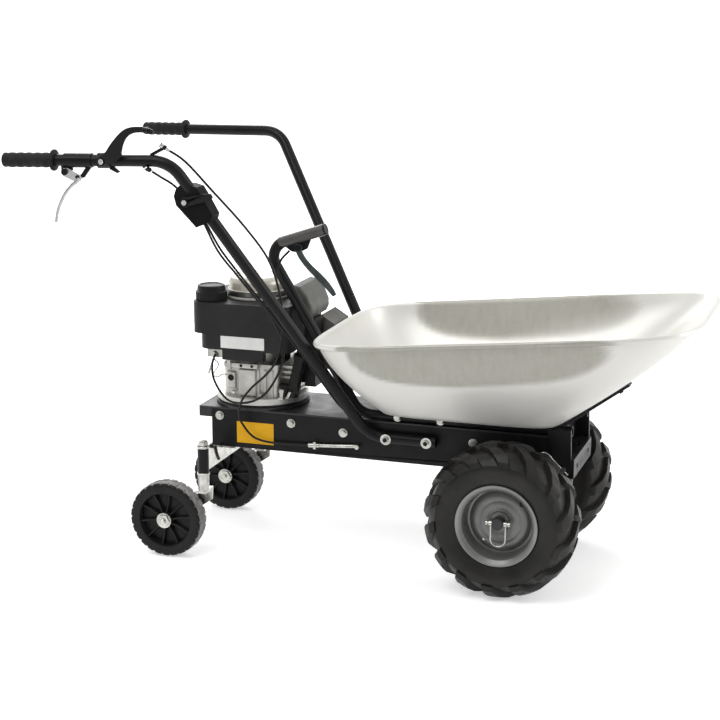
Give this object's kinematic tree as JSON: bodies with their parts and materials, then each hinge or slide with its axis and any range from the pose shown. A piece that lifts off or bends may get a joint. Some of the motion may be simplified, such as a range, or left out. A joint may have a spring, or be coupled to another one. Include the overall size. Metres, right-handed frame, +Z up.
{
  "type": "concrete buggy",
  "caption": "Motorised tipping barrow with a galvanised tub, engine on a narrow deck, two driven tyres, swivel casters and two handlebars.",
  "frame": {"origin": "middle of the length and width, on the ground", "axes": "+X towards the front of the tub, -Y the side of the control levers, +Z up"},
  "size_m": [1.4492, 0.7208, 0.9789],
  "materials": {
    "black_paint": "semi-gloss black paint",
    "galvanised": "brushed galvanised sheet",
    "zinc": "bright zinc plate",
    "steel": "bare machined steel",
    "cast_alloy": "die-cast, matt",
    "dome_paint": "beige-silver satin paint",
    "rim_paint": "satin grey paint",
    "gearbox_iron": "cast, painted dark",
    "charcoal_plastic": "satin charcoal moulding",
    "black_plastic": "black moulding",
    "black_rubber": "matt black rubber",
    "tyre_rubber": "matt black rubber",
    "bronze": "worm-wheel bronze",
    "label_yellow": "plain film, no print"
  },
  "bodies": {
    "chassis": {"chassis_sides": "black_paint", "deck_plate": "black_paint", "front_box": "black_paint", "chassis_bolts": "zinc", "gearbox_housing": "gearbox_iron", "axle_bearings": "steel", "handlebar_right": "black_paint", "handlebar_left": "black_paint", "grips": "black_rubber", "cable_stops": "black_paint", "throttle_box": "black_plastic", "lever_bracket": "black_paint", "drive_lever_clamp": "black_paint", "engine_flange": "black_paint", "crankcase": "cast_alloy", "tank_shroud": "charcoal_plastic", "recoil_dome": "dome_paint", "air_filter": "charcoal_plastic", "exhaust_guard": "rim_paint", "carburettor": "black_plastic", "oil_filler": "black_plastic", "governor_bracket": "zinc", "caster_cross_plate": "zinc", "swivel_sleeves": "black_paint", "pivot_pin": "zinc", "pivot_clips": "zinc", "drive_cable": "black_plastic", "throttle_cable": "black_plastic", "brake_cable": "black_plastic", "clutch_fitting": "zinc", "drive_belt": "black_rubber", "label_plates": "label_yellow"},
    "drive_axle": {"axle_shaft": "steel", "rims": "rim_paint", "tyres": "tyre_rubber", "valve_stems": "black_rubber", "lock_pins": "zinc", "worm_wheel": "bronze"},
    "tub": {"tub_tray": "galvanised", "tub_frame": "black_paint", "front_straps": "black_paint", "tub_bolts": "zinc", "release_cable": "black_plastic"},
    "bail_right": {"bail_right": "zinc"},
    "bail_left": {"bail_left": "zinc"},
    "input_shaft": {"input_shaft": "steel"},
    "crankshaft": {"crankshaft": "steel"},
    "tensioner_arm": {"tensioner_arm": "steel"},
    "idler_pulley": {"idler_pulley": "steel"},
    "drive_lever": {"drive_lever": "black_paint"},
    "hand_lever": {"hand_lever": "zinc"},
    "throttle_lever": {"throttle_lever": "black_plastic"},
    "fuel_cap": {"fuel_cap": "black_plastic"},
    "oil_cap": {"oil_cap": "black_plastic"},
    "release_lever": {"release_lever": "zinc"},
    "tub_latch": {"tub_latch": "zinc"},
    "caster_swivel_right": {"caster_swivel_right": "zinc"},
    "caster_swivel_left": {"caster_swivel_left": "zinc"},
    "caster_wheel_right": {"caster_wheel_right": "black_plastic"},
    "caster_wheel_left": {"caster_wheel_left": "black_plastic"}
  },
  "joints": [
    {"name": "axle_turn", "type": "hinge", "parent": "chassis", "child": "drive_axle", "pos_m": [0.32663, 0, 0.165], "axis": [0, 1, 0], "continuous": true},
    {"name": "bail_right_swing", "type": "hinge", "parent": "drive_axle", "child": "bail_right", "pos_m": [0.32663, -0.2145, 0.165], "axis": [-1, 0, 0], "range_deg": [0, 100]},
    {"name": "bail_left_swing", "type": "hinge", "parent": "drive_axle", "child": "bail_left", "pos_m": [0.32663, 0.2145, 0.165], "axis": [1, 0, 0], "range_deg": [0, 100]},
    {"name": "input_turn", "type": "hinge", "parent": "chassis", "child": "input_shaft", "pos_m": [0.26913, 0, 0.2], "axis": [0, 0, 1], "continuous": true},
    {"name": "crank_turn", "type": "hinge", "parent": "chassis", "child": "crankshaft", "pos_m": [-0.28037, 0, 0.4], "axis": [0, 0, 1], "continuous": true},
    {"name": "tensioner_swing", "type": "hinge", "parent": "chassis", "child": "tensioner_arm", "pos_m": [-0.07337, -0.07268, 0.27], "axis": [0, 0, 1], "range_deg": [0, 5.5]},
    {"name": "idler_turn", "type": "hinge", "parent": "tensioner_arm", "child": "idler_pulley", "pos_m": [-0.00337, -0.07268, 0.28], "axis": [0, 0, 1], "continuous": true},
    {"name": "drive_lever_press", "type": "hinge", "parent": "chassis", "child": "drive_lever", "pos_m": [-0.49537, -0.32703, 0.90496], "axis": [-0.0786, 0.9969, 0], "range_deg": [0, 10], "stiffness_Nm_per_rad": 0.5},
    {"name": "hand_lever_squeeze", "type": "hinge", "parent": "chassis", "child": "hand_lever", "pos_m": [-0.58276, -0.33392, 0.87955], "axis": [-0.0786, 0.9969, 0], "range_deg": [0, 45], "stiffness_Nm_per_rad": 0.5},
    {"name": "throttle_set", "type": "hinge", "parent": "chassis", "child": "throttle_lever", "pos_m": [-0.32473, -0.28699, 0.823], "axis": [0, 1, 0], "range_deg": [-25, 35]},
    {"name": "tub_tip", "type": "hinge", "parent": "chassis", "child": "tub", "pos_m": [0.43863, 0, 0.261], "axis": [0, 1, 0], "range_deg": [0, 75]},
    {"name": "release_squeeze", "type": "hinge", "parent": "tub", "child": "release_lever", "pos_m": [-0.15837, -0.085, 0.702], "axis": [0, -1, 0], "range_deg": [0, 35], "stiffness_Nm_per_rad": 0.5},
    {"name": "latch_swing", "type": "hinge", "parent": "tub", "child": "tub_latch", "pos_m": [0.05063, 0.03, 0.3403], "axis": [0, -1, 0], "range_deg": [0, 14]},
    {"name": "caster_right_swivel", "type": "hinge", "parent": "chassis", "child": "caster_swivel_right", "pos_m": [-0.35537, -0.177, 0.2], "axis": [0, 0, 1], "continuous": true},
    {"name": "caster_left_swivel", "type": "hinge", "parent": "chassis", "child": "caster_swivel_left", "pos_m": [-0.35537, 0.177, 0.2], "axis": [0, 0, 1], "continuous": true},
    {"name": "caster_right_roll", "type": "hinge", "parent": "caster_swivel_right", "child": "caster_wheel_right", "pos_m": [-0.44337, -0.177, 0.086], "axis": [0, 1, 0], "continuous": true},
    {"name": "caster_left_roll", "type": "hinge", "parent": "caster_swivel_left", "child": "caster_wheel_left", "pos_m": [-0.44337, 0.177, 0.086], "axis": [0, 1, 0], "continuous": true},
    {"name": "fuel_cap_turn", "type": "hinge", "parent": "chassis", "child": "fuel_cap", "pos_m": [-0.37037, -0.078, 0.59], "axis": [0, 0, 1], "range_deg": [0, 90]},
    {"name": "oil_cap_turn", "type": "hinge", "parent": "chassis", "child": "oil_cap", "pos_m": [-0.16537, -0.064, 0.448], "axis": [0.2424, -0.0269, 0.9698], "range_deg": [0, 90]}
  ],
  "couplings": [
    {"joint": "input_turn", "follows": "axle_turn", "ratio": 20},
    {"joint": "tensioner_swing", "follows": "drive_lever_press", "ratio": 0.55},
    {"joint": "latch_swing", "follows": "release_squeeze", "ratio": 0.4}
  ]
}
